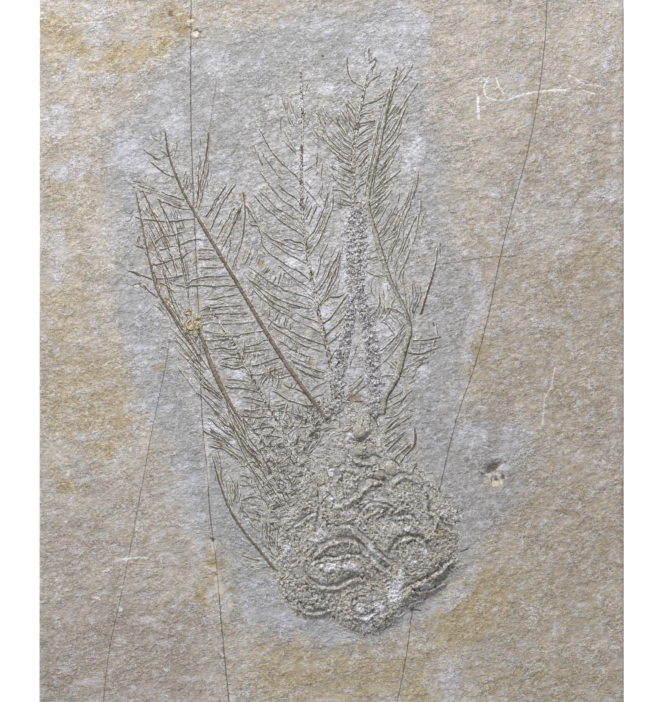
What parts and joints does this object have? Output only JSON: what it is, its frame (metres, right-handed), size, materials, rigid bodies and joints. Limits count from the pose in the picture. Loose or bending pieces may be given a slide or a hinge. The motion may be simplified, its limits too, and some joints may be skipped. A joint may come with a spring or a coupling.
{
  "type": "crinoid fossil slab",
  "caption": "Feather star fossil in low relief on a thin rectangular limestone slab, with a lumpy cup, curled arms and long feathered arms.",
  "frame": {"origin": "centre of the slab's underside", "axes": "+Z out of the fossil face, +Y from the cup towards the arm tips, +X to the right seen from above"},
  "size_m": [0.15, 0.184, 0.0177],
  "materials": {
    "limestone": "matte",
    "matted_calcite": "matte",
    "grey_calcite": "matte",
    "rough_calcite": "matte",
    "iron_stained_calcite": "matte"
  },
  "bodies": {
    "root": {"slab": "limestone", "cup": "matted_calcite", "curled_arm_arch": "grey_calcite", "curled_arm_bottom": "grey_calcite", "curled_arm_centre": "grey_calcite", "curled_arm_inner_arch": "grey_calcite", "curled_arm_lower_left": "grey_calcite", "curled_arm_right": "grey_calcite", "curled_arm_upper_right": "grey_calcite", "arm_centre": "grey_calcite", "arm_centre_left": "grey_calcite", "arm_centre_left_branch": "rough_calcite", "arm_centre_right_branch": "rough_calcite", "arm_far_left": "iron_stained_calcite", "arm_far_right": "iron_stained_calcite", "arm_inner_left": "grey_calcite", "arm_left": "iron_stained_calcite", "arm_long_left": "grey_calcite", "arm_lower_left": "grey_calcite", "arm_right": "grey_calcite", "arm_stub_right": "grey_calcite"}
  },
  "joints": []
}
